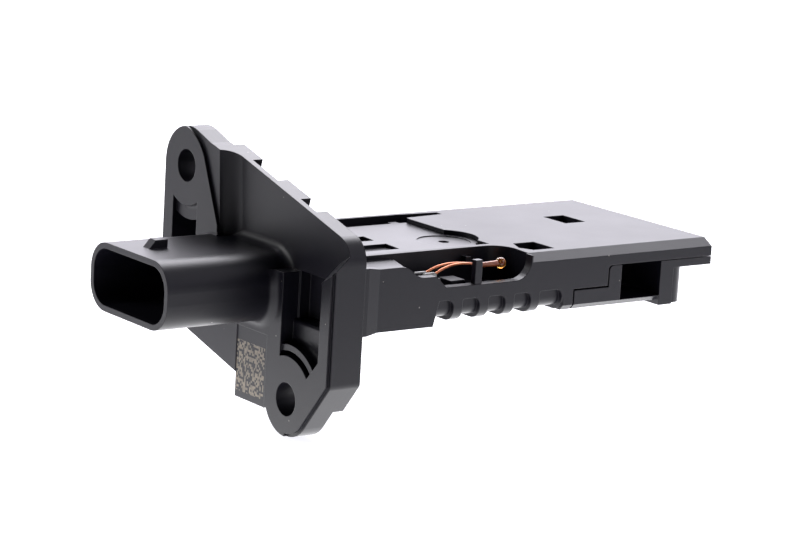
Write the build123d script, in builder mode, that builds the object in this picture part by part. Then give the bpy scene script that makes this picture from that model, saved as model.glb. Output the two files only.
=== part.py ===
from build123d import *
import math
import os

# Plug-in mass airflow sensor. Millimetres.
# +X runs from the connector to the blade's tip, +Y across the blade along the duct, +Z up.
# The origin is midway between the two screw holes, on the flange's seating plane x = 0.
# Flange sketches lie on Plane.YZ, so their local x is the part's Y and their local y is its Z.

# Screw holes and flange
screw_hole_d = 4.5
screw_y = 13.25
screw_z = 13.3
flange_t = 5.07
lobe_back = 1.6
face_step = 0.42
recess_floor = 2.5
lobe_r_upper = 5.4
lobe_r_lower = 5.05
lobe_edge_slope_deg = 19.0
lower_edge_normal_deg = 219.1
flange_near_y = -22.6
top_edge_z = 15.08
top_edge_slope_deg = 15.36
bottom_edge_z = -12.05
bottom_edge_slope_deg = 14.6
kink_y = 7.0
kink_w = 1.1
near_corner_r = 3.5
lower_corner_r = 1.0
far_corner_r = 3.5
screw_collar_d = 5.8

# Label pad on the flange
pad_y0 = -8.2
pad_y1 = -1.0
pad_bottom_z = -15.7
pad_top_z = -5.8
pad_sink = 0.12

# Raised screw pads
pad_edge_step = 0.45
upper_pad_foot = (5.05, 6.5)
upper_pad_bend = (9.0, 15.2)
upper_pad_mid = (10.6, 17.1)
upper_pad_end = (14.2, 18.7)

# Shallow field above the connector
field_wall_foot_y = 4.8
field_wall_lean_deg = 4.4
field_bottom_z = 3.3
field_fillet = 2.5
rim_y = -20.0
ramp_start = (-20.9, 4.2)
ramp_normal = (-0.6, 0.42, 0.68)

# Weight-saving pockets beside the screws
pocket_floor = 0.9
lower_pocket_y0 = -20.1
lower_pocket_y1 = -11.35
lower_pocket_top_z = 3.45
lower_pocket_corner_z = -6.9
lower_pocket_end = (-16.6, -10.8)
lower_pocket_split_z = -3.0
pocket_inset = 0.3
mid_floor = 3.1
mid_floor_round = 0.5
groove_r0 = 5.8
groove_r1 = 6.45
rib_r1 = 7.3
rib_foot_r = 0.8
groove_floor = 2.5
rib_top = 4.75
upper_pocket_y0 = 10.2
upper_pocket_y1 = 16.3
upper_pocket_bottom_z = -3.5
upper_ledge_r0 = 5.5
upper_ledge_r1 = 7.5
upper_ledge_top = 4.45
upper_ledge_fillet = 0.55

# Back of the flange
notch_w_1 = 6.4
notch_w_2 = 3.9
notch_y_1 = -0.8
notch_y_2 = -11.3
notch_depth = 3.2
lower_back_y = -19.2
lower_back_z = -8.0
upper_back_z = 6.5

# Connector shroud
shroud_w = 19.36
shroud_h = 9.25
shroud_r = 3.8
shroud_z = 0.48
shroud_wall = 0.8
shroud_mouth = 21.7
shroud_floor = 6.5
flare = 1.2
flare_ease = 0.02
top_flare = 0.4
root_margin = 3.6
latch_y = 0.2
latch_w = 1.6
latch_front = 18.6
latch_top_front = 17.6
latch_back = 15.8
latch_h = 1.15
key_y = -6.2
key_w = 0.8
key_h = 1.1
key_front = 17.0

# Blade
blade_near_y = -21.04
blade_far_y = 10.05
blade_top_z = 5.03
blade_bottom_z = -3.1
tip_x = 61.3
neck_bottom_z = -3.41
neck_x = 12.5
neck_end_slant = 0.9
collar_out = 0.29
collar_flat = 1.5
collar_x = 3.4
plate_split_z = 2.65
tip_plate_bottom_z = 1.46
step_x = 42.4
cover_start_x = 36.3
cover_top_z = -0.2
step_r = 0.6
fit_gap = 0.1
parting_gap = 0.25
chamfer_y = 1.72
chamfer_z = 1.0
chamfer_x = 28.9

# Finger scallops on the near lower edge
scallop_count = 5
scallop_pitch = 4.38
scallop_x = 12.9
scallop_w = 2.9
last_scallop_extra = 1.0
scallop_top_z = -0.05
scallop_depth = 0.6
scallop_corner_r0 = 0.35
scallop_corner_r1 = 0.95
under_r = 1.9
rib_foot_x = 34.6
foot_chamfer = 0.7

# Sensor bay
bay_x0 = 8.8
bay_x1 = 29.7
bay_inner_y = -13.3
bay_wall = 1.34
bay_floor_z = 0.3
bay_corner_r = 3.0
bay_start_lean = 2.2
bay_end_lean = 0.5
window_lip_x0 = 6.8
window_lip_x1 = 10.9
window_lip_pull = 2.1
window_shelf_x = 12.7
window_shelf_z = 3.35
window_x0 = 14.4
window_x1 = 28.7
window_z = 1.75
window_r = 2.6
ledge_z = 4.35
ledge_x0 = 1.6
bay_block = (16.5, 18.9, -19.2, -16.5)
bay_block_z = 2.1
post_x = 19.2
post_w = 1.1
post_t = 0.9
hook_x = 22.6
hook_w = 0.8
hook_z = 2.9
hook_h = 1.05
hook_reach = 1.1
finger_t = 0.4
finger_reach = 2.3
shelf_x1 = 13.3
shelf_z = 3.05
shelf_depth = 3.4

# Electronics compartment and its cover
cover_z = 4.39
cover_t = 1.0
cover_x0 = 3.2
cover_x1 = 27.9
cover_y0 = -12.3
cover_y1 = 6.75
gate_x = 25.1
gate_y = -6.0
gate_bite_r = 4.7
gate_disc_r = 3.75
gate_sink = 0.12
gate_hole_d = 1.5
gate_hole_depth = 0.5
cavity_x0 = 5.0
cavity_x1 = 26.5
cavity_rim = 0.8
cavity_floor_z = -1.9
cover_slot_x0 = 4.4
cover_slot_x1 = 16.1
cover_slot_slant = 0.3
cover_slot_depth = 0.5
cover_slot_w = (2.9, 3.5)
cover_slot_y = (-2.4, -8.3)
notch_x0 = 26.2
notch_x1 = 28.4
notch_y = -8.9
cover_tab = (25.4, 1.4, 0.9)

# Slot along the far rim, and the pockets in the top plate
far_slot_x0 = 3.0
far_slot_x1 = 28.0
far_slot_y0 = 6.9
far_slot_y1 = 9.3
far_slot_floor_z = 1.0
far_corner_ease = 0.9
far_tail_x1 = 34.9
far_tail_y0 = 7.5
far_tail_y1 = 8.8
top_pocket_a = (48.1, 51.8, -4.4, 0.7)
top_pocket_b = (31.3, 34.9, -18.1, -13.5)
top_pocket_b_corner = (30.2, -16.2)
top_pocket_depth = 1.5

# Bypass channel
duct_x0 = 44.8
duct_x1 = 52.0
duct_bottom_z = -2.35
branch_wall = 1.3
branch_y0 = -12.0
branch_y1 = 6.0
branch_mouth = 5.0
outlet_inset = 1.0
outlet_y0 = 2.4
nose_x = 57.2
nose_back = 0.6
nose_r = 2.0
post_x1 = 54.4
window_post_bottom_z = -3.75

# Circuit
board_t = 0.63
base_t = 1.0
base_margin = 0.4
board_x0 = 8.6
board_margin = 1.0
tongue_w = 5.0
tongue_t = 1.0
tongue_y = -3.0
tongue_gap = 2.5
tongue_root = 3.0
tongue_clear = 0.15
element_l = 3.2
element_w = 1.8
element_t = 0.4
gel_t = 1.9
chip_l = 5.2
chip_w = 4.4
chip_t = 0.9
chip_x = 15.5
chip_y = -7.2
capacitor_size = (2.0, 1.25, 0.9)
capacitor_pitch = 2.6
capacitor_count = 4
capacitor_x = 11.6
capacitor_y = 1.6
resistor_size = (1.6, 0.8, 0.5)
resistor_pitch = 2.2
resistor_count = 4
resistor_x = 15.0
resistor_y = -1.6

# Contacts
pin_count = 4
pin_pitch = 3.5
pin_w = 1.5
pin_t = 0.63
pin_tip_x = 12.2
pin_inner_x = 7.8
pin_jog_x0 = 4.5
pin_jog_x1 = 3.0
pin_inner_y = -4.05
inner_pitch = 2.7
pin_tip_chamfer = 0.25

# Air temperature sensor
lead_d = 0.34
bead_d = 1.55
bead_x = 26.1
bead_y = -17.5
bead_z = 3.5
sleeve_d0 = 0.62
sleeve_d1 = 0.9
sleeve_x0 = 22.7
terminal_x = 11.1
terminal_l = 1.9
terminal_w = 0.7
terminal_h = 0.45
terminal_chamfer = 0.15
terminal_y_upper = -18.2
terminal_y_lower = -19.3
terminal_stagger = 0.7
lead_rise = (1.7, 0.6)
lead_crest = (5.6, 0.8)

os.makedirs("parts", exist_ok=True)

screw_upper = (screw_y, screw_z)
screw_lower = (-screw_y, -screw_z)
flange_far_y = screw_y + lobe_r_upper
board_top_z = cavity_floor_z + base_t + board_t
branch_x0 = cover_start_x + branch_wall
branch_x1 = duct_x0 - branch_wall
tongue_end_x = branch_x1 - tongue_gap


def polar(centre, radius, angle):
    """A point on a circle in a sketch."""
    turn = math.radians(angle)
    return (centre[0] + radius * math.cos(turn), centre[1] + radius * math.sin(turn))


def tangent_corner(centre, radius, angle_a, angle_b):
    """Where the tangents at two angles of a circle meet."""
    half = math.radians(angle_a - angle_b) / 2
    return polar(centre, radius / math.cos(half), (angle_a + angle_b) / 2)


def top_edge(y):
    """Height of the flange's long sloping top edge."""
    return top_edge_z + math.tan(math.radians(top_edge_slope_deg)) * y


def bottom_edge(y):
    """Height of the flange's sloping bottom edge."""
    return bottom_edge_z + math.tan(math.radians(bottom_edge_slope_deg)) * y


def save(piece, name):
    """Label one finished piece and write its STEP file."""
    piece.part.label = name
    export_step(piece.part, f"parts/{name}.step")


# Flange outline: two screw lobes joined by a slanted body, with the label pad hanging below
lobe_corner = tangent_corner(screw_upper, lobe_r_upper, 90 + lobe_edge_slope_deg, 0)
kink_end_y = kink_y + kink_w
lobe_edge_drop = math.tan(math.radians(lobe_edge_slope_deg)) * (lobe_corner[0] - kink_end_y)
lower_tangent = polar(screw_lower, lobe_r_lower, lower_edge_normal_deg)
edge_run = (lower_tangent[0] - flange_near_y) / math.tan(math.radians(lower_edge_normal_deg - 180))
near_bottom_z = lower_tangent[1] + edge_run
with BuildSketch() as flange_outline:
    with BuildLine():
        Polyline(
            lobe_corner,
            (kink_end_y, lobe_corner[1] - lobe_edge_drop),
            (kink_y, top_edge(kink_y)),
            (flange_near_y, top_edge(flange_near_y)),
            (flange_near_y, near_bottom_z),
            lower_tangent,
            screw_lower,
            (pad_y0, pad_bottom_z),
            (pad_y1, pad_bottom_z),
            (pad_y1, bottom_edge(pad_y1)),
            (flange_far_y, bottom_edge(flange_far_y)),
            close=True,
        )
    make_face()
    fillet(flange_outline.vertices().sort_by_distance((*lobe_corner, 0))[0], lobe_r_upper)
    fillet(flange_outline.vertices().sort_by_distance((flange_near_y, top_edge(flange_near_y), 0))[0],
           near_corner_r)
    fillet(flange_outline.vertices().sort_by_distance((flange_near_y, near_bottom_z, 0))[0], lower_corner_r)
    fillet(flange_outline.vertices().sort_by_distance((flange_far_y, bottom_edge(flange_far_y), 0))[0],
           far_corner_r)
    with Locations(screw_lower):
        Circle(lobe_r_lower)

# The raised front face, set in by a small step along the near edges of the lower lobe
with BuildSketch() as lowered_rim:
    add(flange_outline.sketch)
    offset(flange_outline.sketch, amount=-pad_edge_step, mode=Mode.SUBTRACT)
    with Locations((flange_near_y, screw_lower[1] - lobe_r_lower)):
        Rectangle(screw_lower[0] - flange_near_y, 2 * screw_z + lobe_r_lower, align=Align.MIN,
                  mode=Mode.INTERSECT)

# The wedge between the upper screw pad and the shallow field
with BuildSketch() as lowered_wedge:
    with BuildLine():
        Polyline((upper_pad_end[0], flange_far_y + lobe_r_upper), (0, flange_far_y + lobe_r_upper),
                 (0, upper_pad_foot[1]), upper_pad_foot, upper_pad_bend)
        ThreePointArc(upper_pad_bend, upper_pad_mid, upper_pad_end)
        Line(upper_pad_end, (upper_pad_end[0], flange_far_y + lobe_r_upper))
    make_face()

# The shallow field: a cutter with a rounded foot at its far wall, ending at the near rim
field_top_z = flange_far_y + lobe_r_upper
field_wall_rise = field_top_z - field_bottom_z
field_wall_top_y = field_wall_foot_y + math.tan(math.radians(field_wall_lean_deg)) * field_wall_rise
with BuildPart() as field_cutter:
    with BuildSketch(Plane.YZ.offset(-recess_floor)):
        with BuildLine():
            Polyline((field_wall_foot_y, field_bottom_z), (field_wall_top_y, field_top_z),
                     (rim_y, field_top_z), (rim_y, field_bottom_z), close=True)
        make_face()
    extrude(amount=-flange_t)
    far_wall_foot = field_cutter.edges().filter_by_position(Axis.X, -recess_floor, -recess_floor)
    fillet(far_wall_foot.sort_by(Axis.Y)[-1], field_fillet)

# The ramp by which the near rim falls from the raised face to the field
ramp_reach = 2 * field_top_z
with BuildPart() as ramp_cutter:
    with BuildSketch(Plane(origin=(-flange_t, *ramp_start), z_dir=ramp_normal)):
        Rectangle(ramp_reach, ramp_reach)
    extrude(amount=ramp_reach)
    with BuildSketch(Plane.YZ.offset(-recess_floor)):
        with Locations((rim_y, field_bottom_z)):
            Rectangle(near_corner_r + rim_y - flange_near_y, field_top_z, align=(Align.MAX, Align.MIN))
    extrude(amount=-flange_t, mode=Mode.INTERSECT)

# Weight-saving pocket by the lower screw: a step at its mouth, two floors, a rib and a groove
with BuildSketch() as lower_pocket:
    with BuildLine():
        Polyline((lower_pocket_y1, lower_pocket_top_z), (lower_pocket_y0, lower_pocket_top_z),
                 (lower_pocket_y0, lower_pocket_corner_z), lower_pocket_end,
                 (lower_pocket_y1, lower_pocket_end[1]), close=True)
    make_face()
    with Locations(screw_lower):
        Circle(groove_r0, mode=Mode.SUBTRACT)
lower_pocket_w = lower_pocket_y1 - lower_pocket_y0
lower_pocket_h = lower_pocket_top_z - lower_pocket_split_z
with BuildPart() as lower_pocket_cutter:
    with BuildSketch(Plane.YZ.offset(-mid_floor)):
        add(lower_pocket.sketch)
        with Locations(screw_lower):
            Circle(rib_r1, mode=Mode.SUBTRACT)
    extrude(amount=-flange_t)
    rib_foot = lower_pocket_cutter.edges().filter_by(GeomType.CIRCLE).filter_by_position(
        Axis.X, -mid_floor, -mid_floor)
    fillet(rib_foot, rib_foot_r)
    with BuildSketch(Plane.YZ.offset(-recess_floor)):
        with Locations((lower_pocket_y0, lower_pocket_split_z)):
            Rectangle(lower_pocket_w, lower_pocket_h, align=Align.MIN)
    extrude(amount=recess_floor - mid_floor)
    with BuildSketch(Plane.YZ.offset(-pocket_floor)):
        with Locations((lower_pocket_y0 + pocket_inset, lower_pocket_split_z)):
            Rectangle(lower_pocket_w - 2 * pocket_inset, lower_pocket_h, align=Align.MIN)
    extrude(amount=pocket_floor - recess_floor)
    step_edge = lower_pocket_cutter.edges().filter_by(Axis.Y).sort_by_distance(
        (-mid_floor, (lower_pocket_y0 + lower_pocket_y1) / 2, lower_pocket_split_z))[0]
    fillet(step_edge, mid_floor_round)
    with BuildSketch(Plane.YZ.offset(-groove_floor)):
        add(lower_pocket.sketch)
        with Locations(screw_lower):
            Circle(groove_r1, mode=Mode.INTERSECT)
    extrude(amount=-flange_t)
    with BuildSketch(Plane.YZ.offset(-rib_top)):
        add(lower_pocket.sketch)
        with Locations(screw_lower):
            Circle(rib_r1, mode=Mode.INTERSECT)
    extrude(amount=-flange_t)

# Weight-saving pocket by the upper screw, with a shallow ledge round the screw's pad
upper_pocket_w = upper_pocket_y1 - upper_pocket_y0
upper_pocket_h = screw_z - upper_pocket_bottom_z
with BuildPart() as upper_pocket_cutter:
    with BuildSketch(Plane.YZ.offset(-upper_ledge_top)):
        with Locations((upper_pocket_y0, upper_pocket_bottom_z)):
            Rectangle(upper_pocket_w, upper_pocket_h, align=Align.MIN)
        with Locations(screw_upper):
            Circle(upper_ledge_r0, mode=Mode.SUBTRACT)
    extrude(amount=-flange_t)
    pad_foot = upper_pocket_cutter.edges().filter_by(GeomType.CIRCLE).filter_by_position(
        Axis.X, -upper_ledge_top, -upper_ledge_top)
    fillet(pad_foot, upper_ledge_fillet)
    with BuildSketch(Plane.YZ.offset(-pocket_floor)):
        with Locations((upper_pocket_y0, upper_pocket_bottom_z)):
            Rectangle(upper_pocket_w, upper_pocket_h, align=Align.MIN)
        with Locations(screw_upper):
            Circle(upper_ledge_r1, mode=Mode.SUBTRACT)
    extrude(amount=-flange_t)


def flared_shroud(level, radius):
    """The shroud's solid body with its root filleted onto a plane at this level."""
    with BuildPart() as body:
        with BuildSketch(Plane.YZ.offset(-level)):
            with Locations((0, shroud_z)):
                Rectangle(shroud_w + 2 * root_margin, shroud_h + 2 * root_margin)
        extrude(amount=level - lobe_back)
        with BuildSketch(Plane.YZ.offset(-level)):
            with Locations((0, shroud_z)):
                RectangleRounded(shroud_w, shroud_h, shroud_r)
        extrude(amount=level - shroud_mouth)
        root_edges = body.edges().filter_by_position(Axis.X, -level, -level)
        inner = root_edges.filter_by(lambda e: abs(e.center().Y) < shroud_w / 2 + radius
                                     and abs(e.center().Z - shroud_z) < shroud_h / 2 + radius)
        fillet(inner, radius - flare_ease)
        with BuildSketch(Plane.YZ.offset(-lobe_back)):
            with Locations((0, shroud_z)):
                RectangleRounded(shroud_w + 2 * radius, shroud_h + 2 * radius, shroud_r + radius)
        extrude(amount=lobe_back - shroud_mouth, mode=Mode.INTERSECT)
    return body


# The root flares widely onto the low face and the field, and narrowly beside the upper screw
field_shroud = flared_shroud(recess_floor, flare)
with BuildPart() as low_shroud:
    add(flared_shroud(flange_t, flare).part)
    with BuildSketch(Plane.YZ):
        with Locations((0, field_bottom_z)):
            Rectangle(2 * shroud_w, 2 * shroud_h, align=(Align.CENTER, Align.MIN))
    extrude(amount=-shroud_mouth - flange_t, mode=Mode.SUBTRACT)
with BuildPart() as upper_shroud:
    add(flared_shroud(flange_t, top_flare).part)
    with BuildSketch(Plane.YZ):
        with Locations((field_wall_foot_y, field_bottom_z)):
            Rectangle(2 * shroud_w, 2 * shroud_h, align=Align.MIN)
    extrude(amount=-shroud_mouth - flange_t, mode=Mode.INTERSECT)

# Contact blades: straight in the plug, jogged inside the wall to the narrower pitch of the circuit
contact_pins = []
for index in range(pin_count):
    place = index - (pin_count - 1) / 2
    plug_y = place * pin_pitch
    inner_y = pin_inner_y + place * inner_pitch
    with BuildPart() as contact_pin:
        with BuildSketch(Plane.XY.offset(shroud_z - pin_t / 2)):
            with BuildLine():
                Polyline((-pin_tip_x, plug_y - pin_w / 2), (-pin_jog_x0, plug_y - pin_w / 2),
                         (pin_jog_x1, inner_y - pin_w / 2), (pin_inner_x, inner_y - pin_w / 2),
                         (pin_inner_x, inner_y + pin_w / 2), (pin_jog_x1, inner_y + pin_w / 2),
                         (-pin_jog_x0, plug_y + pin_w / 2), (-pin_tip_x, plug_y + pin_w / 2), close=True)
            make_face()
        extrude(amount=pin_t)
        chamfer(contact_pin.faces().sort_by(Axis.X)[0].edges(), pin_tip_chamfer)
    contact_pins.append(contact_pin)
    save(contact_pin, f"contact_pin_{index + 1}")



def scallop_cutter(start_x, width):
    """One finger scallop round the blade's near lower edge, its top corners rounded."""
    scallop_r = under_r - scallop_depth
    with BuildPart() as cutter:
        with BuildSketch(Plane.YZ.offset(start_x)):
            with BuildLine():
                Polyline((blade_near_y + scallop_depth, blade_bottom_z + under_r),
                         (blade_near_y + scallop_depth, scallop_top_z),
                         (blade_near_y - scallop_depth, scallop_top_z),
                         (blade_near_y - scallop_depth, blade_bottom_z - scallop_depth),
                         (blade_near_y + 2 * under_r, blade_bottom_z - scallop_depth),
                         (blade_near_y + 2 * under_r, blade_bottom_z),
                         (blade_near_y + under_r, blade_bottom_z + scallop_depth))
                RadiusArc((blade_near_y + scallop_depth, blade_bottom_z + under_r),
                          (blade_near_y + under_r, blade_bottom_z + scallop_depth), -scallop_r)
            make_face()
        extrude(amount=width)
        lip_ends = cutter.edges().filter_by(Axis.Y).filter_by_position(
            Axis.Z, scallop_top_z, scallop_top_z).sort_by(Axis.X)
        fillet(lip_ends[0], scallop_corner_r0)
        lip_ends = cutter.edges().filter_by(Axis.Y).filter_by_position(
            Axis.Z, scallop_top_z, scallop_top_z).sort_by(Axis.X)
        fillet(lip_ends[-1], scallop_corner_r1)
    return cutter


# Housing: flange, shroud, neck and blade in one moulding
with BuildPart() as sensor_housing:
    with BuildSketch(Plane.YZ.offset(-flange_t)):
        add(flange_outline.sketch)
    extrude(amount=flange_t - lobe_back)
    with BuildSketch(Plane.YZ.offset(-flange_t)):
        add(lowered_rim.sketch)
        add(lowered_wedge.sketch)
    extrude(amount=face_step, mode=Mode.SUBTRACT)
    with BuildSketch(Plane.YZ.offset(-flange_t)):
        with Locations((pad_y0, pad_bottom_z)):
            Rectangle(pad_y1 - pad_y0, pad_top_z - pad_bottom_z, align=Align.MIN)
    extrude(amount=pad_sink, mode=Mode.SUBTRACT)
    add(field_cutter.part, mode=Mode.SUBTRACT)
    add(ramp_cutter.part, mode=Mode.SUBTRACT)

    # Back of the flange, proud of the lobes and notched along the top edge
    with BuildSketch(Plane.YZ.offset(-lobe_back)):
        add(flange_outline.sketch)
        with Locations((kink_y, upper_back_z)):
            Rectangle(2 * screw_y, 2 * screw_z, align=Align.MIN, mode=Mode.SUBTRACT)
        with Locations((lower_back_y, lower_back_z)):
            Rectangle(screw_y + abs(lower_back_y), 2 * screw_z, align=(Align.MIN, Align.MAX),
                      mode=Mode.SUBTRACT)
        with Locations((notch_y_1, top_edge(notch_y_1))):
            Rectangle(notch_w_1, 2 * notch_depth, rotation=top_edge_slope_deg, mode=Mode.SUBTRACT)
        with Locations((notch_y_2, top_edge(notch_y_2))):
            Rectangle(notch_w_2, 2 * notch_depth, rotation=top_edge_slope_deg, mode=Mode.SUBTRACT)
    extrude(amount=lobe_back)

    # Connector shroud with its flared root and latch ramp
    for shroud in (low_shroud, upper_shroud, field_shroud):
        add(shroud.part)
    shroud_top_z = shroud_z + shroud_h / 2
    with BuildSketch(Plane.XZ.offset(-latch_y)):
        with BuildLine():
            Polyline((-latch_front, shroud_top_z), (-latch_top_front, shroud_top_z + latch_h),
                     (-latch_back, shroud_top_z + latch_h), (-latch_back, shroud_top_z - shroud_wall / 2),
                     (-latch_front, shroud_top_z - shroud_wall / 2), close=True)
        make_face()
    extrude(amount=-latch_w)

    # Neck and blade: one side profile across the full width
    with BuildSketch(Plane.XZ.offset(-blade_near_y)) as side_profile:
        with BuildLine():
            Polyline((-lobe_back, blade_top_z), (tip_x, blade_top_z), (tip_x, plate_split_z),
                     (step_x, plate_split_z), (step_x, cover_top_z), (cover_start_x, cover_top_z),
                     (cover_start_x, blade_bottom_z), (neck_x, blade_bottom_z), (neck_x, neck_bottom_z),
                     (-lobe_back, neck_bottom_z), close=True)
        make_face()
        fillet(side_profile.vertices().sort_by_distance((step_x, plate_split_z, 0))[0], step_r)
    extrude(amount=blade_near_y - blade_far_y)

    # Pilot collar where the neck leaves the flange
    mid_y = (blade_near_y + blade_far_y) / 2
    mid_z = (blade_top_z + neck_bottom_z) / 2
    neck_w = blade_far_y - blade_near_y
    neck_h = blade_top_z - neck_bottom_z
    with BuildSketch(Plane.YZ):
        with Locations((mid_y, mid_z)):
            Rectangle(neck_w + 2 * collar_out, neck_h + 2 * collar_out)
    extrude(amount=collar_flat)
    with BuildSketch(Plane.YZ.offset(collar_flat)):
        with Locations((mid_y, mid_z)):
            Rectangle(neck_w + 2 * collar_out, neck_h + 2 * collar_out)
    with BuildSketch(Plane.YZ.offset(collar_x)):
        with Locations((mid_y, mid_z)):
            Rectangle(neck_w, neck_h)
    loft()

    add(lower_pocket_cutter.part, mode=Mode.SUBTRACT)
    add(upper_pocket_cutter.part, mode=Mode.SUBTRACT)

    # Screw holes, each with a collar that reaches the seating plane
    with BuildSketch(Plane.YZ.offset(-lobe_back)):
        with Locations(screw_upper, screw_lower):
            Circle(screw_collar_d / 2)
    extrude(amount=lobe_back)
    with BuildSketch(Plane.YZ):
        with Locations(screw_upper, screw_lower):
            Circle(screw_hole_d / 2)
    extrude(amount=-flange_t, mode=Mode.SUBTRACT)

    # Plug cavity in the shroud, with a coding rib
    with BuildSketch(Plane.YZ.offset(-shroud_floor)):
        with Locations((0, shroud_z)):
            RectangleRounded(shroud_w - 2 * shroud_wall, shroud_h - 2 * shroud_wall, shroud_r - shroud_wall)
    extrude(amount=shroud_floor - shroud_mouth, mode=Mode.SUBTRACT)
    with BuildSketch(Plane.YZ.offset(-shroud_floor)):
        with Locations((key_y, shroud_top_z - shroud_wall)):
            Rectangle(key_w, key_h, align=(Align.CENTER, Align.MAX))
    extrude(amount=shroud_floor - key_front)

    # Electronics compartment under its cover
    with BuildSketch(Plane.XY.offset(cover_z - cover_t)):
        with Locations((cover_x0 - fit_gap, cover_y0 - fit_gap)):
            Rectangle(cover_x1 - cover_x0 + 2 * fit_gap, far_slot_y0 - cover_y0 + fit_gap, align=Align.MIN)
        with Locations((gate_x, gate_y)):
            Circle(gate_bite_r + fit_gap)
        with BuildLine():
            Polyline((far_slot_x1, far_slot_y0 - far_corner_ease),
                     (far_slot_x1 + far_corner_ease, far_slot_y1), (far_slot_x1, far_slot_y1), close=True)
        make_face()
    extrude(amount=cover_z, mode=Mode.SUBTRACT)
    with BuildSketch(Plane.XY.offset(cavity_floor_z)):
        with Locations((cavity_x0, cover_y0 + cavity_rim)):
            Rectangle(cavity_x1 - cavity_x0, cover_y1 - cover_y0 - 2 * cavity_rim, align=Align.MIN)
    extrude(amount=blade_top_z - cavity_floor_z, mode=Mode.SUBTRACT)

    for contact_pin in contact_pins:
        add(contact_pin.part, mode=Mode.SUBTRACT)

    # Deep slot along the far rim with its narrow tail
    with BuildSketch(Plane.XY.offset(far_slot_floor_z)):
        with Locations((far_slot_x0, far_slot_y0)):
            Rectangle(far_slot_x1 - far_slot_x0, far_slot_y1 - far_slot_y0, align=Align.MIN)
        with BuildLine():
            Polyline((far_slot_x1, far_slot_y0), (far_tail_x1, far_tail_y0), (far_tail_x1, far_tail_y1),
                     (far_slot_x1, far_slot_y1), close=True)
        make_face()
    extrude(amount=blade_top_z, mode=Mode.SUBTRACT)

    # Pockets in the raised plate
    with BuildSketch(Plane.XY.offset(blade_top_z)):
        for x0, x1, y0, y1 in (top_pocket_a, top_pocket_b):
            with Locations((x0, y0)):
                Rectangle(x1 - x0, y1 - y0, align=Align.MIN)
        with BuildLine():
            Polyline(top_pocket_b_corner, (top_pocket_b[0], top_pocket_b[2]),
                     (top_pocket_b[0], top_pocket_b[3]), close=True)
        make_face()
    extrude(amount=-top_pocket_depth, mode=Mode.SUBTRACT)

    # Sensor bay: ledge by the flange, cavity behind the near wall, and the window in that wall
    bay_near_y = blade_near_y + bay_wall
    with BuildSketch(Plane.XY.offset(ledge_z)):
        with Locations((ledge_x0, bay_near_y)):
            Rectangle(bay_x0 + bay_start_lean - ledge_x0, bay_inner_y - bay_near_y, align=Align.MIN)
    extrude(amount=blade_top_z, mode=Mode.SUBTRACT)
    with BuildSketch(Plane.XY.offset(bay_floor_z)) as bay_plan:
        with BuildLine():
            Polyline((bay_x0 + bay_start_lean, bay_inner_y), (bay_x1, bay_inner_y),
                     (bay_x1 - bay_end_lean, bay_near_y), (bay_x0, bay_near_y), close=True)
        make_face()
        fillet(bay_plan.vertices().sort_by_distance((bay_x1, bay_inner_y, 0))[0], bay_corner_r)
    extrude(amount=blade_top_z, mode=Mode.SUBTRACT)
    with BuildSketch(Plane.XZ.offset(-blade_near_y + bay_wall)) as bay_window:
        with BuildLine():
            Bezier((window_lip_x0, blade_top_z), (window_lip_x0 + window_lip_pull, blade_top_z),
                   (window_lip_x1 - window_lip_pull, window_shelf_z), (window_lip_x1, window_shelf_z))
            Polyline((window_lip_x1, window_shelf_z), (window_shelf_x, window_shelf_z),
                     (window_x0, window_z), (window_x1, window_z), (window_x1, blade_top_z + bay_wall),
                     (window_lip_x0, blade_top_z + bay_wall), (window_lip_x0, blade_top_z))
        make_face()
        fillet(bay_window.vertices().sort_by_distance((window_x1, window_z, 0))[0], window_r)
    extrude(amount=-2 * bay_wall, mode=Mode.SUBTRACT)

    # Shelf for the two terminals, and the post and hook that hold the leads
    with BuildSketch(Plane.XY.offset(bay_floor_z)):
        with Locations((bay_x0, blade_near_y)):
            Rectangle(shelf_x1 - bay_x0, shelf_depth, align=Align.MIN)
    extrude(amount=shelf_z - bay_floor_z)
    block_x0, block_x1, block_y0, block_y1 = bay_block
    with BuildSketch(Plane.XY.offset(bay_floor_z)):
        with Locations((block_x0, block_y0)):
            Rectangle(block_x1 - block_x0, block_y1 - block_y0, align=Align.MIN)
    extrude(amount=bay_block_z - bay_floor_z)
    with BuildSketch(Plane.XY.offset(window_z)):
        with Locations((post_x, blade_near_y + fit_gap)):
            Rectangle(post_w, post_t, align=Align.MIN)
    extrude(amount=blade_top_z - window_z)
    with BuildSketch(Plane.XY.offset(hook_z)):
        with Locations((hook_x, bay_inner_y)):
            Rectangle(hook_w, hook_reach, align=(Align.MIN, Align.MAX))
    extrude(amount=hook_h)
    with BuildSketch(Plane.XY.offset(hook_z)):
        with Locations((hook_x, bay_inner_y)):
            Rectangle(hook_w, finger_reach, align=(Align.MIN, Align.MAX))
    extrude(amount=finger_t)

    # Long chamfer on the near top edge of the raised plate
    with BuildSketch(Plane.YZ.offset(chamfer_x)):
        with BuildLine():
            Polyline((blade_near_y, blade_top_z - chamfer_z), (blade_near_y + chamfer_y, blade_top_z),
                     (blade_near_y, blade_top_z), close=True)
        make_face()
    extrude(amount=tip_x - chamfer_x, mode=Mode.SUBTRACT)

    # Near lower edge: rounded under, then five finger scallops
    with BuildSketch(Plane.YZ.offset(neck_x)) as under_edge:
        with BuildLine():
            Polyline((blade_near_y + under_r, blade_bottom_z), (blade_near_y, blade_bottom_z),
                     (blade_near_y, blade_bottom_z + under_r))
            RadiusArc((blade_near_y, blade_bottom_z + under_r), (blade_near_y + under_r, blade_bottom_z),
                      -under_r)
        make_face()
    extrude(amount=rib_foot_x - neck_x, mode=Mode.SUBTRACT)

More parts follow.
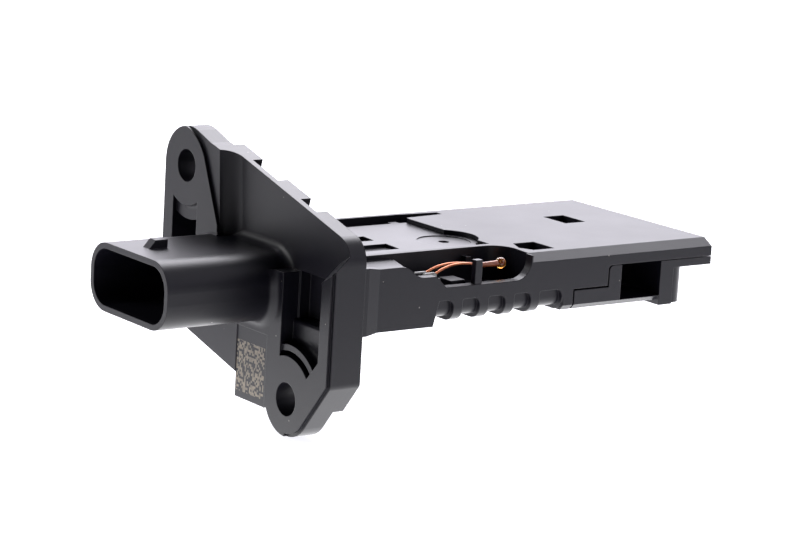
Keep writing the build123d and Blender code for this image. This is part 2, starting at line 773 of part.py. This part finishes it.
    for index in range(scallop_count):
        width = scallop_w + (last_scallop_extra if index == scallop_count - 1 else 0)
        add(scallop_cutter(scallop_x + index * scallop_pitch, width).part, mode=Mode.SUBTRACT)
    with BuildSketch(Plane.XZ.offset(-blade_near_y)):
        with BuildLine():
            Polyline((neck_x, neck_bottom_z), (neck_x + neck_end_slant, scallop_top_z),
                     (neck_x, scallop_top_z), close=True)
        make_face()
    extrude(amount=-2 * under_r)
    with BuildSketch(Plane.YZ.offset(rib_foot_x)):
        with BuildLine():
            Polyline((blade_near_y, blade_bottom_z), (blade_near_y + foot_chamfer, blade_bottom_z),
                     (blade_near_y, blade_bottom_z + foot_chamfer), close=True)
        make_face()
    extrude(amount=cover_start_x - rib_foot_x, mode=Mode.SUBTRACT)

    # Passage for the tongue and the upper half of the bypass branch
    with BuildSketch(Plane.XY.offset(cover_top_z)):
        with Locations((branch_x0, branch_y0)):
            Rectangle(step_x - branch_x0, branch_y1 - branch_y0, align=Align.MIN)
    extrude(amount=plate_split_z - cover_top_z, mode=Mode.SUBTRACT)
    with BuildSketch(Plane.YZ.offset(cavity_x1)):
        with Locations((tongue_y, board_top_z + tongue_t / 2)):
            Rectangle(tongue_w + 2 * tongue_clear, tongue_t + 2 * tongue_clear)
    extrude(amount=branch_x0 - cavity_x1, mode=Mode.SUBTRACT)

save(sensor_housing, "sensor_housing")

# Cover of the electronics compartment, cut round the gate mark, with two open slots
with BuildPart() as electronics_cover:
    with BuildSketch(Plane.XY.offset(cover_z - cover_t)):
        with Locations((cover_x0, cover_y0)):
            Rectangle(cover_x1 - cover_x0, cover_y1 - cover_y0, align=Align.MIN)
        with Locations((gate_x, gate_y)):
            Circle(gate_bite_r)
        with BuildLine():
            Polyline((notch_x0, cover_y0), (notch_x1, notch_y), (gate_x + gate_bite_r, notch_y),
                     (gate_x + gate_bite_r, cover_y0), close=True)
        make_face(mode=Mode.SUBTRACT)
        with Locations((cover_tab[0], cover_y1)):
            Rectangle(cover_tab[1], cover_tab[2], align=Align.MIN)
    extrude(amount=cover_t)
    with BuildSketch(Plane.XY.offset(cover_z)):
        with Locations((gate_x, gate_y)):
            Circle(gate_disc_r)
    extrude(amount=-gate_sink, mode=Mode.SUBTRACT)
    with BuildSketch(Plane.XY.offset(cover_z)):
        with Locations((gate_x, gate_y)):
            Circle(gate_hole_d / 2)
    extrude(amount=-gate_hole_depth, mode=Mode.SUBTRACT)
    with BuildSketch(Plane.XY.offset(cover_z)):
        for near_y, width in zip(cover_slot_y, cover_slot_w):
            with BuildLine():
                Polyline((cover_slot_x0, near_y), (cover_slot_x1 - cover_slot_slant, near_y),
                         (cover_slot_x1, near_y + width), (cover_slot_x0, near_y + width), close=True)
            make_face()
    extrude(amount=-cover_slot_depth, mode=Mode.SUBTRACT)
save(electronics_cover, "electronics_cover")

# Cover of the bypass channel: inlet window, post, rounded nose and the plate under the tip
with BuildPart() as bypass_cover:
    with BuildSketch(Plane.XZ.offset(-blade_near_y)) as cover_profile:
        with BuildLine():
            Polyline((cover_start_x + parting_gap, blade_bottom_z), (nose_x, blade_bottom_z),
                     (nose_x, tip_plate_bottom_z), (tip_x, tip_plate_bottom_z),
                     (tip_x, plate_split_z - fit_gap), (step_x + parting_gap, plate_split_z - fit_gap),
                     (step_x + parting_gap, cover_top_z - parting_gap),
                     (cover_start_x + parting_gap, cover_top_z - parting_gap), close=True)
        make_face()
        fillet(cover_profile.vertices().sort_by_distance((step_x, plate_split_z, 0))[0], step_r)
    extrude(amount=blade_near_y - blade_far_y)
    near_foot = bypass_cover.edges().filter_by(Axis.X).filter_by_position(
        Axis.Z, blade_bottom_z - fit_gap, blade_bottom_z + fit_gap).sort_by(Axis.Y)[0]
    chamfer(near_foot, foot_chamfer)
    with BuildSketch(Plane.XY.offset(blade_bottom_z)):
        with Locations((post_x1, blade_near_y)):
            Rectangle(nose_x, nose_back, align=Align.MIN)
    extrude(amount=tip_plate_bottom_z - blade_bottom_z, mode=Mode.SUBTRACT)
    nose_edge = bypass_cover.edges().filter_by(Axis.Z).sort_by_distance(
        (nose_x, blade_near_y + nose_back, (blade_bottom_z + tip_plate_bottom_z) / 2))[0]
    fillet(nose_edge, nose_r)
    with BuildSketch(Plane.XY.offset(window_post_bottom_z)):
        with Locations((duct_x1, blade_near_y)):
            Rectangle(post_x1 - duct_x1, nose_back, align=Align.MIN)
    extrude(amount=tip_plate_bottom_z - window_post_bottom_z)
    with BuildSketch(Plane.XY.offset(window_post_bottom_z)) as nose_foot:
        with Locations((duct_x1, blade_near_y + nose_back)):
            Rectangle(nose_x - duct_x1, 2 * nose_r, align=Align.MIN)
        fillet(nose_foot.vertices().sort_by_distance((nose_x, blade_near_y, 0))[0], nose_r)
    extrude(amount=blade_bottom_z + foot_chamfer - window_post_bottom_z)
    with BuildSketch(Plane.XY.offset(duct_bottom_z)):
        with Locations((duct_x0, blade_near_y)):
            Rectangle(duct_x1 - duct_x0, blade_far_y - blade_near_y, align=Align.MIN)
        with Locations((branch_x0, branch_y0)):
            Rectangle(branch_x1 - branch_x0, branch_y1 - branch_y0, align=Align.MIN)
            Rectangle(duct_x0 - branch_x0, branch_mouth, align=Align.MIN)
    extrude(amount=plate_split_z - duct_bottom_z, mode=Mode.SUBTRACT)
    with BuildSketch(Plane.XY.offset(blade_bottom_z)):
        with Locations((branch_x0 + outlet_inset, outlet_y0)):
            Rectangle(branch_x1 - branch_x0 - 2 * outlet_inset, branch_y1 - outlet_y0, align=Align.MIN)
    extrude(amount=duct_bottom_z - blade_bottom_z, mode=Mode.SUBTRACT)
save(bypass_cover, "bypass_cover")

# Circuit: metal base, ceramic board and its parts
cavity_y0 = cover_y0 + cavity_rim
cavity_y1 = cover_y1 - cavity_rim
with BuildPart() as base_plate:
    with BuildSketch(Plane.XY.offset(cavity_floor_z)):
        with Locations((cavity_x0 + base_margin, cavity_y0 + base_margin)):
            Rectangle(cavity_x1 - cavity_x0 - 2 * base_margin, cavity_y1 - cavity_y0 - 2 * base_margin,
                      align=Align.MIN)
    extrude(amount=base_t)
save(base_plate, "base_plate")

board_x1 = cavity_x1 - board_margin
with BuildPart() as circuit_board:
    with BuildSketch(Plane.XY.offset(cavity_floor_z + base_t)):
        with Locations((board_x0, cavity_y0 + board_margin)):
            Rectangle(board_x1 - board_x0, cavity_y1 - cavity_y0 - 2 * board_margin, align=Align.MIN)
    extrude(amount=board_t)
save(circuit_board, "circuit_board")

with BuildPart() as signal_chip:
    with BuildSketch(Plane.XY.offset(board_top_z)):
        with Locations((chip_x, chip_y)):
            Rectangle(chip_l, chip_w)
    extrude(amount=chip_t)
save(signal_chip, "signal_chip")


def chip_row(count, pitch, x, y, size):
    """A row of identical chip parts on the board."""
    with BuildPart() as row:
        with BuildSketch(Plane.XY.offset(board_top_z)):
            for place in range(count):
                with Locations((x + place * pitch, y)):
                    Rectangle(size[0], size[1])
        extrude(amount=size[2])
    return row


board_capacitors = chip_row(capacitor_count, capacitor_pitch, capacitor_x, capacitor_y, capacitor_size)
save(board_capacitors, "board_capacitors")
board_resistors = chip_row(resistor_count, resistor_pitch, resistor_x, resistor_y, resistor_size)
save(board_resistors, "board_resistors")

# Tongue that carries the sensor element into the bypass branch
element_x = tongue_end_x - element_w
with BuildPart() as sensor_carrier:
    with BuildSketch(Plane.XY.offset(board_top_z)):
        with Locations((board_x1 - tongue_root, tongue_y)):
            Rectangle(tongue_end_x - board_x1 + tongue_root, tongue_w, align=(Align.MIN, Align.CENTER))
    extrude(amount=tongue_t)
    with BuildSketch(Plane.XY.offset(board_top_z + tongue_t)):
        with Locations((element_x, tongue_y)):
            Rectangle(element_w, element_l)
    extrude(amount=-element_t, mode=Mode.SUBTRACT)
    fillet(sensor_carrier.edges().filter_by(Axis.Z).sort_by(Axis.X)[-2:], tongue_t)
save(sensor_carrier, "sensor_carrier")

with BuildPart() as sensor_chip:
    with BuildSketch(Plane.XY.offset(board_top_z + tongue_t)):
        with Locations((element_x, tongue_y)):
            Rectangle(element_w, element_l)
    extrude(amount=-element_t)
save(sensor_chip, "sensor_chip")

# Soft gel over the circuit, poured round its parts
with BuildPart() as potting_gel:
    with BuildSketch(Plane.XY.offset(board_top_z)):
        with Locations((cavity_x0, cavity_y0)):
            Rectangle(cavity_x1 - cavity_x0, cavity_y1 - cavity_y0, align=Align.MIN)
    extrude(amount=gel_t)
    for sunk in (signal_chip, board_capacitors, board_resistors, sensor_carrier):
        add(sunk.part, mode=Mode.SUBTRACT)
    for contact_pin in contact_pins:
        add(contact_pin.part, mode=Mode.SUBTRACT)
save(potting_gel, "potting_gel")

# Air temperature sensor: bead, sleeve, two leads and the tabs they are welded to
with BuildPart() as ntc_bead:
    with Locations((bead_x, bead_y, bead_z)):
        Sphere(bead_d / 2)
save(ntc_bead, "ntc_bead")

with BuildPart() as ntc_sleeve:
    for ring_x, ring_d in ((sleeve_x0, sleeve_d0), (bead_x, sleeve_d1)):
        with BuildSketch(Plane.YZ.offset(ring_x)):
            with Locations((bead_y, bead_z)):
                Circle(ring_d / 2)
    loft()
    add(ntc_bead.part, mode=Mode.SUBTRACT)
save(ntc_sleeve, "ntc_sleeve")


def lead(tab_x, tab_y, side):
    """One copper lead: it rises from its tab, runs level and comes down to the sleeve's end."""
    start = Vector(tab_x + terminal_l, tab_y, shelf_z + terminal_h / 2)
    end = Vector(sleeve_x0, bead_y + side * lead_d / 2, bead_z)
    run = end - start
    bends = [start + Vector(along, run.Y * along / run.X, up) for along, up in (lead_rise, lead_crest)]
    with BuildPart() as wire:
        with BuildLine() as route:
            Spline(start, *bends, end)
        with BuildSketch(Plane(origin=route.line @ 0, z_dir=route.line % 0)):
            Circle(lead_d / 2)
        sweep()
    return wire


def terminal(tab_x, tab_y):
    """One welded tab on the shelf of the bay."""
    with BuildPart() as tab:
        with BuildSketch(Plane.XY.offset(shelf_z)):
            with Locations((tab_x, tab_y)):
                Rectangle(terminal_l, terminal_w, align=(Align.MIN, Align.CENTER))
        extrude(amount=terminal_h)
        chamfer(tab.faces().sort_by(Axis.Z)[-1].edges(), terminal_chamfer)
    return tab


terminal_x_lower = terminal_x + terminal_stagger
save(lead(terminal_x, terminal_y_upper, 1), "ntc_lead_upper")
save(lead(terminal_x_lower, terminal_y_lower, -1), "ntc_lead_lower")
save(terminal(terminal_x, terminal_y_upper), "ntc_terminal_upper")
save(terminal(terminal_x_lower, terminal_y_lower), "ntc_terminal_lower")
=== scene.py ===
import math

import bpy
from mathutils import Matrix, Vector


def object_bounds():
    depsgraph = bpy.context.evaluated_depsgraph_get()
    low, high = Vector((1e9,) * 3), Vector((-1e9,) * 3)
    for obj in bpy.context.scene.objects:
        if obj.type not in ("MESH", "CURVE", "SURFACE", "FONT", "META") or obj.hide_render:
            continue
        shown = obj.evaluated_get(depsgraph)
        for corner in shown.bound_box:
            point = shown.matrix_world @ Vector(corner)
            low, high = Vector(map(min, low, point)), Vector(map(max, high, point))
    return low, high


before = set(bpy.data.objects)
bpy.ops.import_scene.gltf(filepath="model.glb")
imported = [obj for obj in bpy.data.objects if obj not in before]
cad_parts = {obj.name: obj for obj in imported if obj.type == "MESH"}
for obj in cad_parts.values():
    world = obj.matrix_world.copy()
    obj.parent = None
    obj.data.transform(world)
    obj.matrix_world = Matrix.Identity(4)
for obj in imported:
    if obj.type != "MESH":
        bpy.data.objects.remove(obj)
cad_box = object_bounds()
bpy.ops.object.select_all(action="DESELECT")

# Camera: a long lens from the plug side, low and to the left of the blade's near edge.
# Its place was solved from the flange's holes, the shroud's mouth and the blade's long edges.
view_azimuth = math.radians(-36.894)
view_elevation = math.radians(11.618)
view_roll = math.radians(3.378)
view_distance = 0.40491
view_target = Vector((0.022323, 0.0, -0.000223))
back = Vector((
    math.sin(view_azimuth) * math.cos(view_elevation),
    -math.cos(view_azimuth) * math.cos(view_elevation),
    math.sin(view_elevation),
))
level_right = Vector((math.cos(view_azimuth), math.sin(view_azimuth), 0.0))
level_up = back.cross(level_right)
right = math.cos(view_roll) * level_right + math.sin(view_roll) * level_up
up = back.cross(right)
bpy.ops.object.camera_add()
camera = bpy.context.object
camera.data.sensor_width = 36.0
camera.data.lens = 130.79
camera.data.clip_start = 0.01
camera.data.clip_end = 20.0
camera.matrix_world = Matrix.Translation(view_target + view_distance * back) @ Matrix(
    (right, up, back)).transposed().to_4x4()
bpy.context.scene.camera = camera
bpy.context.scene.view_settings.view_transform = "Standard"

# Paper: a wide white sheet just under the part, evenly white where the camera looks at it.
# A long pool of light in it, under the blade, fades outwards and lights the part from below.


class Value:
    """A socket of a shader node, so that shader maths reads as plain arithmetic."""

    def __init__(self, tree, socket):
        self.tree = tree
        self.socket = socket

    def maths(self, operation, *given):
        step = self.tree.nodes.new("ShaderNodeMath")
        step.operation = operation
        for place, operand in enumerate(given):
            if isinstance(operand, Value):
                self.tree.links.new(operand.socket, step.inputs[place])
            else:
                step.inputs[place].default_value = operand
        return Value(self.tree, step.outputs[0])

    def __add__(self, other):
        return self.maths("ADD", self, other)

    def __radd__(self, other):
        return self.maths("ADD", other, self)

    def __sub__(self, other):
        return self.maths("SUBTRACT", self, other)

    def __rsub__(self, other):
        return self.maths("SUBTRACT", other, self)

    def __mul__(self, other):
        return self.maths("MULTIPLY", self, other)

    def __rmul__(self, other):
        return self.maths("MULTIPLY", other, self)

    def __truediv__(self, other):
        return self.maths("DIVIDE", self, other)

    def __rtruediv__(self, other):
        return self.maths("DIVIDE", other, self)

    def __gt__(self, other):
        return self.maths("GREATER_THAN", self, other)

    def __lt__(self, other):
        return self.maths("LESS_THAN", self, other)

    def __or__(self, other):
        return self.maths("MAXIMUM", self, other)

    def __ror__(self, other):
        return self.maths("MAXIMUM", other, self)

    def between(self, low, high):
        """1 where this value lies between the two limits, and 0 elsewhere."""
        return (self > low) * (self < high)

    def spread(self, low, high):
        """The low number where this value is 0, and the high one where it is 1."""
        return low + (high - low) * self

    def wrapped(self, start, pitch):
        """How far this value lies past the last start of a pattern that repeats by the pitch."""
        repeats = (self - start) / pitch
        return repeats.maths("FRACT", repeats) * pitch


class Nodes:
    """The shader nodes of a material or of the room, and the shader that they feed."""

    def __init__(self, owner, shader):
        owner.use_nodes = True
        self.tree = owner.node_tree
        self.shader = self.tree.nodes[shader]

    def node(self, kind, settings=None, output=0, **sockets):
        """Add a node; a socket is given by its name, or as i and its number."""
        made = self.tree.nodes.new("ShaderNode" + kind)
        for key, value in (settings or {}).items():
            setattr(made, key, value)
        for key, value in sockets.items():
            numbered = key[1:].isdigit()
            target = made.inputs[int(key[1:]) if numbered else key.replace("_", " ")]
            if isinstance(value, Value):
                self.tree.links.new(value.socket, target)
            else:
                target.default_value = value
        return Value(self.tree, made.outputs[output])

    def drive(self, socket, value):
        self.tree.links.new(value.socket, self.shader.inputs[socket])

    def ray(self, name):
        return self.node("LightPath", output=name)

    def background(self):
        """1 where the camera looks at the background, straight or in metal or glass."""
        return self.ray("Is Camera Ray") | self.ray("Is Glossy Ray") | self.ray("Is Transmission Ray")


class Finish(Nodes):
    """One material: its shader's plain settings, and the nodes that vary them."""

    def __init__(self, name, **settings):
        self.material = bpy.data.materials.new(name)
        super().__init__(self.material, "Principled BSDF")
        for socket, value in settings.items():
            self.shader.inputs[socket.replace("_", " ")].default_value = value

    def place(self):
        return self.node("TexCoord", output="Object")

    def along(self, axis):
        """How far a point lies along X, Y or Z, in metres."""
        return self.node("SeparateXYZ", output=axis, Vector=self.place())

    def stretched(self, x, y, z):
        """The place with each of its measures multiplied by a number."""
        return self.node("VectorMath", {"operation": "MULTIPLY"}, i0=self.place(), i1=(x, y, z))

    def noise(self, scale, detail=2.0, at=None):
        return self.node("TexNoise", Vector=at or self.place(), Scale=scale, Detail=detail)

    def blend(self, amount, first, second):
        """A colour between two, each a plain colour or another blend."""
        # A Mix node has a set of sockets for each kind of value: these numbers are the colours'.
        return self.node("Mix", {"data_type": "RGBA"}, output=2, i0=amount,
                         i6=first if isinstance(first, Value) else (*first, 1),
                         i7=second if isinstance(second, Value) else (*second, 1))

    def vary(self, amount, colours, roughness=None):
        """Vary the colour between two by an amount, and the roughness with it if that is given."""
        self.drive("Base Color", self.blend(amount, *colours))
        if roughness:
            self.drive("Roughness", amount.spread(*roughness))

    def dress(self, *names):
        for name in names:
            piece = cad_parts[name]
            piece.data.materials.clear()
            piece.data.materials.append(self.material)


MM = 0.001
paper_gap = 0.2 * MM
paper_width = 8.0
paper_grey = (0.5, 0.5, 0.5, 1)
glow_strength = 3.5
white_level = 0.25
white_blue = 1.05
pool_centre = (0.03, -0.01)
pool_stretch = 2.0
pool_reach = 0.024
pool_level = 0.95
bpy.ops.mesh.primitive_plane_add(size=paper_width, location=(0, 0, cad_box[0][2] - paper_gap))
floor = bpy.context.object
floor.name = "floor"
paper = Finish("paper", Base_Color=paper_grey, Roughness=0.9, Emission_Strength=glow_strength)
pool_middle = (pool_centre[0] / pool_stretch, pool_centre[1], 0.0)
from_middle = paper.node("VectorMath", {"operation": "DISTANCE"}, output="Value",
                         i0=paper.stretched(1 / pool_stretch, 1.0, 1.0), i1=pool_middle)
reaches = from_middle / pool_reach
pool = (1 - paper.ray("Is Camera Ray")) * (pool_level / (1 + reaches * reaches))
white = white_level * paper.background()
paper.drive("Emission Color", paper.node(
    "CombineColor", Red=pool + white, Green=pool + white, Blue=pool + white_blue * white))
floor.data.materials.append(paper.material)

# Room: plain and dark grey beyond the paper, so that the lamps and the paper do the lighting.
# It gives next to no light, and is a little less dark to the camera and in metal and glass.
room_light = 0.12
room_seen = 1.0
world = bpy.data.worlds.new("studio")
bpy.context.scene.world = world
room = Nodes(world, "Background")
room.drive("Strength", room.background().spread(room_light, room_seen))

# Lamps: soft rectangular boxes, the strongest behind and above the blade and weak ones in front.
# All of them face the middle of the part, and most are a little cool.
part_middle = Vector((0.02, 0.0, 0.0))


def softbox(name, at, size, power, tint=(1, 1, 1)):
    """A rectangular studio lamp that faces the middle of the part."""
    bpy.ops.object.light_add(type="AREA", location=at)
    lamp = bpy.context.object
    lamp.name = name
    lamp.data.shape = "RECTANGLE"
    lamp.data.size, lamp.data.size_y = size
    lamp.data.energy = power
    lamp.data.color = tint
    lamp.rotation_euler = (part_middle - Vector(at)).to_track_quat("-Z", "Y").to_euler()


softbox("behind", at=(0.72, 0.94, 0.42), size=(2.6, 0.9), power=23.0, tint=(0.93, 0.91, 1.0))
softbox("behind and above", at=(0.55, 0.72, 0.95), size=(1.6, 0.5), power=16.0,
        tint=(0.95, 0.94, 1.0))
softbox("over the tip", at=(0.42, 0.6, 0.74), size=(0.7, 0.7), power=6.8, tint=(0.96, 0.94, 1.0))
softbox("right", at=(0.62, -0.5, 0.62), size=(0.9, 0.7), power=2.6, tint=(0.9, 0.88, 1.0))
softbox("front right", at=(0.62, -0.85, 0.26), size=(0.8, 0.4), power=0.9, tint=(0.88, 0.86, 1.0))
softbox("left", at=(-0.75, 0.55, 0.45), size=(0.6, 0.6), power=5.0)

# Moulded housing: flange, plug shroud and blade in one piece of black glass-filled plastic.
# Its skin is a fine satin with a faint violet cast, faint flow marks and softened edges.
# A little pale dust lies on it.
plastic_black = (0.0048, 0.0044, 0.0085)
flow_depth = 0.2
roughness_range = 0.05
dust_scale = 320.0
dust_size = 0.035
dust_cover = 0.5
dust_pale = (0.34, 0.32, 0.29)


def moulded(name, roughness, edge):
    """Satin black plastic with edges of the given radius, and its colour with the dust on it."""
    plastic = Finish(name, Specular_IOR_Level=0.28)
    flow = plastic.noise(scale=90.0, detail=3.0)
    plastic.drive("Roughness", flow.spread(roughness - roughness_range, roughness + roughness_range))
    shade = plastic.blend(flow, [(1 - flow_depth) * part for part in plastic_black],
                          [(1 + flow_depth) * part for part in plastic_black])
    dust = plastic.node("TexVoronoi", Vector=plastic.place(), Scale=dust_scale) < dust_size
    plastic.drive("Normal", plastic.node(
        "Bump", Strength=0.12, Distance=0.04 * MM, Height=plastic.noise(scale=5200.0),
        Normal=plastic.node("Bevel", {"samples": 6}, Radius=edge)))
    return plastic, plastic.blend(dust_cover * dust, shade, dust_pale)


housing_plastic, housing_shade = moulded("housing_plastic", roughness=0.39, edge=0.14 * MM)

# Laser mark on the housing's label pad: small cells of the black plastic burnt to a pale tan.
# They are a random speckle that carries no data, with ragged edges and uneven strength.
mark_cell = 0.31 * MM
mark_y = (-7.77 * MM, -1.11 * MM)
mark_z = (-14.75 * MM, -7.75 * MM)
mark_front_x = -4.9 * MM
mark_share = 0.50
mark_tan = (0.26, 0.22, 0.17)
mark_strength = (0.2, 1.3)
ragged = 0.1 * MM
cell_depth = 1.0
drift = housing_plastic.node("TexNoise", output="Color", Vector=housing_plastic.place(), Scale=3000.0)
shaken = housing_plastic.node("VectorMath", {"operation": "MULTIPLY_ADD"}, i0=drift,
                              i1=(ragged, ragged, ragged), i2=housing_plastic.place())
cell = housing_plastic.node("VectorMath", {"operation": "SNAP"}, i0=shaken,
                            i1=(cell_depth, mark_cell, mark_cell))
dice = housing_plastic.node("TexWhiteNoise", {"noise_dimensions": "3D"}, Vector=cell)
on_pad = (housing_plastic.along("Y").between(*mark_y) * housing_plastic.along("Z").between(*mark_z)
          * (housing_plastic.along("X") < mark_front_x))
burnt = (dice > 1 - mark_share) * on_pad * housing_plastic.noise(scale=2500.0).spread(*mark_strength)
housing_plastic.drive("Base Color", housing_plastic.blend(burnt, housing_shade, mark_tan))
housing_plastic.dress("sensor_housing")

# Covers of the blade: the plate over the circuit and the lower shell of the air duct.
# They are the same black plastic from other tools, a shade smoother, glued into the housing.
cover_plastic, cover_shade = moulded("cover_plastic", roughness=0.31, edge=0.12 * MM)
cover_plastic.drive("Base Color", cover_shade)
cover_plastic.dress("electronics_cover", "bypass_cover")

# Contacts: four stamped brass blades with a dull tin plating.
# The wall behind the plug is moulded round them, and they step closer together inside it.
tin = Finish("contact_tin", Metallic=1.0)
tin.vary(tin.noise(scale=900.0, detail=3.0),
         colours=((0.42, 0.40, 0.37), (0.58, 0.56, 0.52)), roughness=(0.34, 0.50))
tin.dress("contact_pin_1", "contact_pin_2", "contact_pin_3", "contact_pin_4")

# Tabs of the air temperature sensor: two strips of tinned sheet on a shelf of the housing.
# The leads are welded onto them, and their tin is coloured a blotched dark grey.
tab = Finish("tab_tin", Metallic=1.0)
tab.vary(tab.noise(scale=1800.0, detail=3.0),
         colours=((0.07, 0.07, 0.07), (0.20, 0.20, 0.19)), roughness=(0.25, 0.55))
tab.dress("ntc_terminal_upper", "ntc_terminal_lower")

# Metal plate under the circuit: rolled aluminium, its lines along the blade.
# It lies on the floor of the compartment and stiffens the ceramic board.
lines_along = 60.0
lines_across = 2400.0
base_metal = Finish("base_metal", Metallic=1.0)
rolled = base_metal.stretched(lines_along, lines_across, lines_across)
base_metal.vary(base_metal.noise(scale=1.0, detail=3.0, at=rolled),
                colours=((0.52, 0.53, 0.54), (0.68, 0.69, 0.70)), roughness=(0.3, 0.55))
base_metal.dress("base_plate")

# Circuit board: pale fired ceramic with printed conductors across it.
# It is glued flat onto the metal plate.
track_pitch = 1.3 * MM
track_width = 0.3 * MM
track_grey = (0.45, 0.44, 0.40)
ceramic_pale = ((0.62, 0.61, 0.57), (0.76, 0.75, 0.71))
ceramic = Finish("board_ceramic", Roughness=0.5)
track = ceramic.along("X").wrapped(0.0, track_pitch) < track_width
fired = ceramic.blend(ceramic.noise(scale=4000.0), *ceramic_pale)
ceramic.drive("Base Color", ceramic.blend(track, fired, track_grey))
ceramic.dress("circuit_board")

# Evaluation chip: the sensor's main circuit, in a matte black moulded package.
# The resin has a fine grain, and the package is soldered to the board.
package = Finish("chip_black")
package.vary(package.noise(scale=6000.0),
             colours=((0.018, 0.018, 0.019), (0.03, 0.03, 0.032)), roughness=(0.5, 0.65))
package.dress("signal_chip")

# Capacitors: a row of four small blocks of brown ceramic between tinned ends.
# They are soldered to the board by those ends.
tinned_end = (0.72, 0.71, 0.68)
end_share = 0.2


def chip_row(name, first_x, pitch, length, colours):
    """The finish of a row of small parts along the blade, all with bright tinned ends."""
    finish = Finish(name)
    start = first_x - length / 2
    body = finish.along("X").wrapped(start, pitch).between(end_share * length, (1 - end_share) * length)
    speckled = finish.blend(finish.noise(scale=3000.0), *colours)
    finish.drive("Base Color", finish.blend(body, tinned_end, speckled))
    finish.drive("Metallic", 1 - body)
    finish.drive("Roughness", body.spread(0.32, 0.47))
    return finish


capacitors = chip_row("capacitor_body", first_x=11.6 * MM, pitch=2.6 * MM, length=2.0 * MM,
                      colours=((0.30, 0.20, 0.12), (0.40, 0.28, 0.17)))
capacitors.dress("board_capacitors")

# Resistors: a row of four small blocks with a black glazed film between tinned ends.
# They are soldered to the board as the capacitors are.
resistors = chip_row("resistor_body", first_x=15.0 * MM, pitch=2.2 * MM, length=1.6 * MM,
                     colours=((0.02, 0.02, 0.022), (0.05, 0.05, 0.055)))
resistors.dress("board_resistors")

# Tongue of the sensor element: dark grey moulded plastic with a dense fine grain.
# It reaches from the circuit through a passage into the side branch of the air duct.
tongue = Finish("carrier_plastic")
tongue.vary(tongue.noise(scale=5000.0),
            colours=((0.04, 0.04, 0.045), (0.065, 0.065, 0.07)), roughness=(0.45, 0.55))
tongue.dress("sensor_carrier")

# Sensor element: polished silicon on the end of the tongue, where the air passes.
# Its thin heated membrane shows as a darker window.
membrane_x = (38.2 * MM, 39.3 * MM)
membrane_y = (-3.9 * MM, -2.1 * MM)
silicon = Finish("silicon", Metallic=0.6)
silicon.vary(silicon.along("X").between(*membrane_x) * silicon.along("Y").between(*membrane_y),
             colours=((0.16, 0.17, 0.20), (0.05, 0.07, 0.16)), roughness=(0.12, 0.22))
silicon.dress("sensor_chip")

# Gel over the circuit: clear and soft, poured round the chips to keep damp and dust off them.
# It sets with a faintly uneven skin.
gel = Finish("gel", Alpha=0.35)
gel.vary(gel.noise(scale=350.0),
         colours=((0.74, 0.79, 0.81), (0.84, 0.88, 0.90)), roughness=(0.1, 0.2))
gel.dress("potting_gel")

# Leads of the air temperature sensor: drawn copper wire, bright and browned in places.
# Each is bent from the bead to its own tab and welded there.
copper = Finish("copper", Metallic=1.0)
copper.vary(copper.noise(scale=1200.0, detail=3.0),
            colours=((0.56, 0.21, 0.10), (0.26, 0.085, 0.045)), roughness=(0.24, 0.44))
copper.dress("ntc_lead_upper", "ntc_lead_lower")

# Sleeve behind the bead: one drop of red-brown glaze that coats both leads.
# It was dripped on and baked, which leaves it glossy.
glaze = Finish("glaze", Roughness=0.25)
glaze.vary(glaze.noise(scale=1500.0), colours=((0.34, 0.08, 0.03), (0.52, 0.17, 0.07)))
glaze.dress("ntc_sleeve")

# Bead: the sensing element of the air temperature sensor, sealed in amber glass.
# The glass is melted round the ends of the leads, and paler specks show in it.
speck_level = 0.5
amber = Finish("amber_glass", Roughness=0.08, Transmission_Weight=0.65, IOR=1.5)
amber.vary(amber.noise(scale=2600.0, detail=3.0) > speck_level,
           colours=((0.52, 0.11, 0.02), (0.85, 0.50, 0.13)))
amber.dress("ntc_bead")
